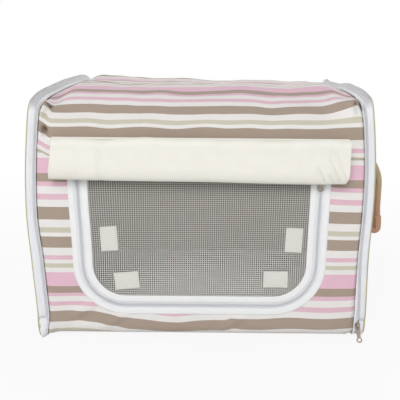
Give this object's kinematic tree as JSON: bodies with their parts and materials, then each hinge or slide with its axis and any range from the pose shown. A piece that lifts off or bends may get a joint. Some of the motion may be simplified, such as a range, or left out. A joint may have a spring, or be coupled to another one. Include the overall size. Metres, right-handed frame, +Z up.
{
  "type": "soft pet carrier bag",
  "caption": "Box-shaped soft carrier for a small pet: a striped cloth tube with zip-off ends, a zipped net door, a rolled privacy flap and a webbing carry handle.",
  "frame": {"origin": "middle of the base, on the surface the bag stands on", "axes": "+X along the bag towards the end with the handle, -Y out of the front with the door, +Z up"},
  "size_m": [0.5376, 0.4545, 0.3556],
  "materials": {
    "striped_cloth": "woven cotton canvas with woven stripes in pink, taupe, beige and white",
    "base_cloth": "plain taupe canvas",
    "lining_cloth": "thin plain-woven lining",
    "white_tape": "woven zip tape",
    "white_binding": "folded and stitched cotton binding",
    "coil_plastic": "nylon coil, satin",
    "net": "knitted open mesh",
    "hook_and_loop": "brushed loop pile with a sewn edge",
    "gunmetal": "dark plated, satin",
    "cream_cloth": "smooth plain-woven cotton",
    "piping_cloth": "bias-cut cloth piping",
    "spring_steel": "drawn wire",
    "board_plastic": "plain sheet",
    "webbing": "ribbed woven webbing",
    "pad_cloth": "quilted fleece"
  },
  "bodies": {
    "tube": {"front_panel": "striped_cloth", "rear_panel": "striped_cloth", "roof_panel": "striped_cloth", "base_panel": "base_cloth", "lining": "lining_cloth", "right_tube_tape": "white_tape", "left_tube_tape": "white_tape", "right_tube_coil": "coil_plastic", "left_tube_coil": "coil_plastic", "right_gussets": "white_tape", "left_gussets": "white_tape", "window_binding": "white_binding", "window_tape": "white_tape", "window_coil": "coil_plastic", "header_net": "net", "header_binding": "white_binding", "header_coil": "coil_plastic"},
    "door": {"door_net": "net", "door_binding": "white_binding", "door_tape": "white_tape", "door_coil": "coil_plastic", "hook_patches": "hook_and_loop"},
    "flap": {"privacy_flap": "cream_cloth"},
    "right_end": {"right_piping": "piping_cloth", "right_frame_wire": "spring_steel", "right_end_cover": "striped_cloth", "right_end_board": "board_plastic", "right_rim_tape": "white_tape", "right_rim_coil": "coil_plastic", "handle_anchors": "webbing"},
    "left_end": {"left_piping": "piping_cloth", "left_frame_wire": "spring_steel", "left_end_cover": "striped_cloth", "left_end_board": "board_plastic", "left_rim_tape": "white_tape", "left_rim_coil": "coil_plastic"},
    "handle": {"carry_handle": "webbing"},
    "floor_insert": {"base_board": "board_plastic", "floor_pad": "pad_cloth"},
    "right_zip_slider": {"right_slider": "gunmetal"},
    "right_zip_pull": {"right_pull": "gunmetal"},
    "left_zip_slider": {"left_slider": "gunmetal"},
    "left_zip_pull": {"left_pull": "gunmetal"},
    "door_zip_slider": {"door_slider": "gunmetal"},
    "door_zip_pull": {"door_pull": "gunmetal"}
  },
  "joints": [
    {"name": "door_swing", "type": "hinge", "parent": "tube", "child": "door", "pos_m": [0, -0.2005, 0.214], "axis": [-1, 0, 0], "range_deg": [0, 100]},
    {"name": "flap_lift", "type": "hinge", "parent": "tube", "child": "flap", "pos_m": [0, -0.203, 0.295], "axis": [-1, 0, 0], "range_deg": [0, 85]},
    {"name": "right_end_swing", "type": "hinge", "parent": "tube", "child": "right_end", "pos_m": [0.237, 0, 0.003], "axis": [0, 1, 0], "range_deg": [0, 55]},
    {"name": "left_end_swing", "type": "hinge", "parent": "tube", "child": "left_end", "pos_m": [-0.237, 0, 0.003], "axis": [0, -1, 0], "range_deg": [0, 90]},
    {"name": "handle_swing", "type": "hinge", "parent": "right_end", "child": "handle", "pos_m": [0.2441, 0, 0.27], "axis": [0, -1, 0], "range_deg": [0, 110]},
    {"name": "floor_insert_lift", "type": "slide", "parent": "tube", "child": "floor_insert", "axis": [0, 0, -1], "range_m": [-0.15, 0]},
    {"name": "right_zip_run", "type": "slide", "parent": "tube", "child": "right_zip_slider", "axis": [0, 0, 1], "range_m": [0, 0.27]},
    {"name": "right_pull_swing", "type": "hinge", "parent": "right_zip_slider", "child": "right_zip_pull", "pos_m": [0.22697, -0.2037, 0.019], "axis": [-1, 0, 0], "range_deg": [0, 115]},
    {"name": "left_zip_run", "type": "slide", "parent": "tube", "child": "left_zip_slider", "axis": [0, 0, 1], "range_m": [0, 0.27]},
    {"name": "left_pull_swing", "type": "hinge", "parent": "left_zip_slider", "child": "left_zip_pull", "pos_m": [-0.22697, 0.2037, 0.019], "axis": [1, 0, 0], "range_deg": [0, 115]},
    {"name": "door_zip_run", "type": "slide", "parent": "tube", "child": "door_zip_slider", "axis": [0, 0, -1], "range_m": [0, 0.125]},
    {"name": "door_pull_swing", "type": "hinge", "parent": "door_zip_slider", "child": "door_zip_pull", "pos_m": [0.1696, -0.2025, 0.248], "axis": [-1, 0, 0], "range_deg": [0, 25]}
  ]
}
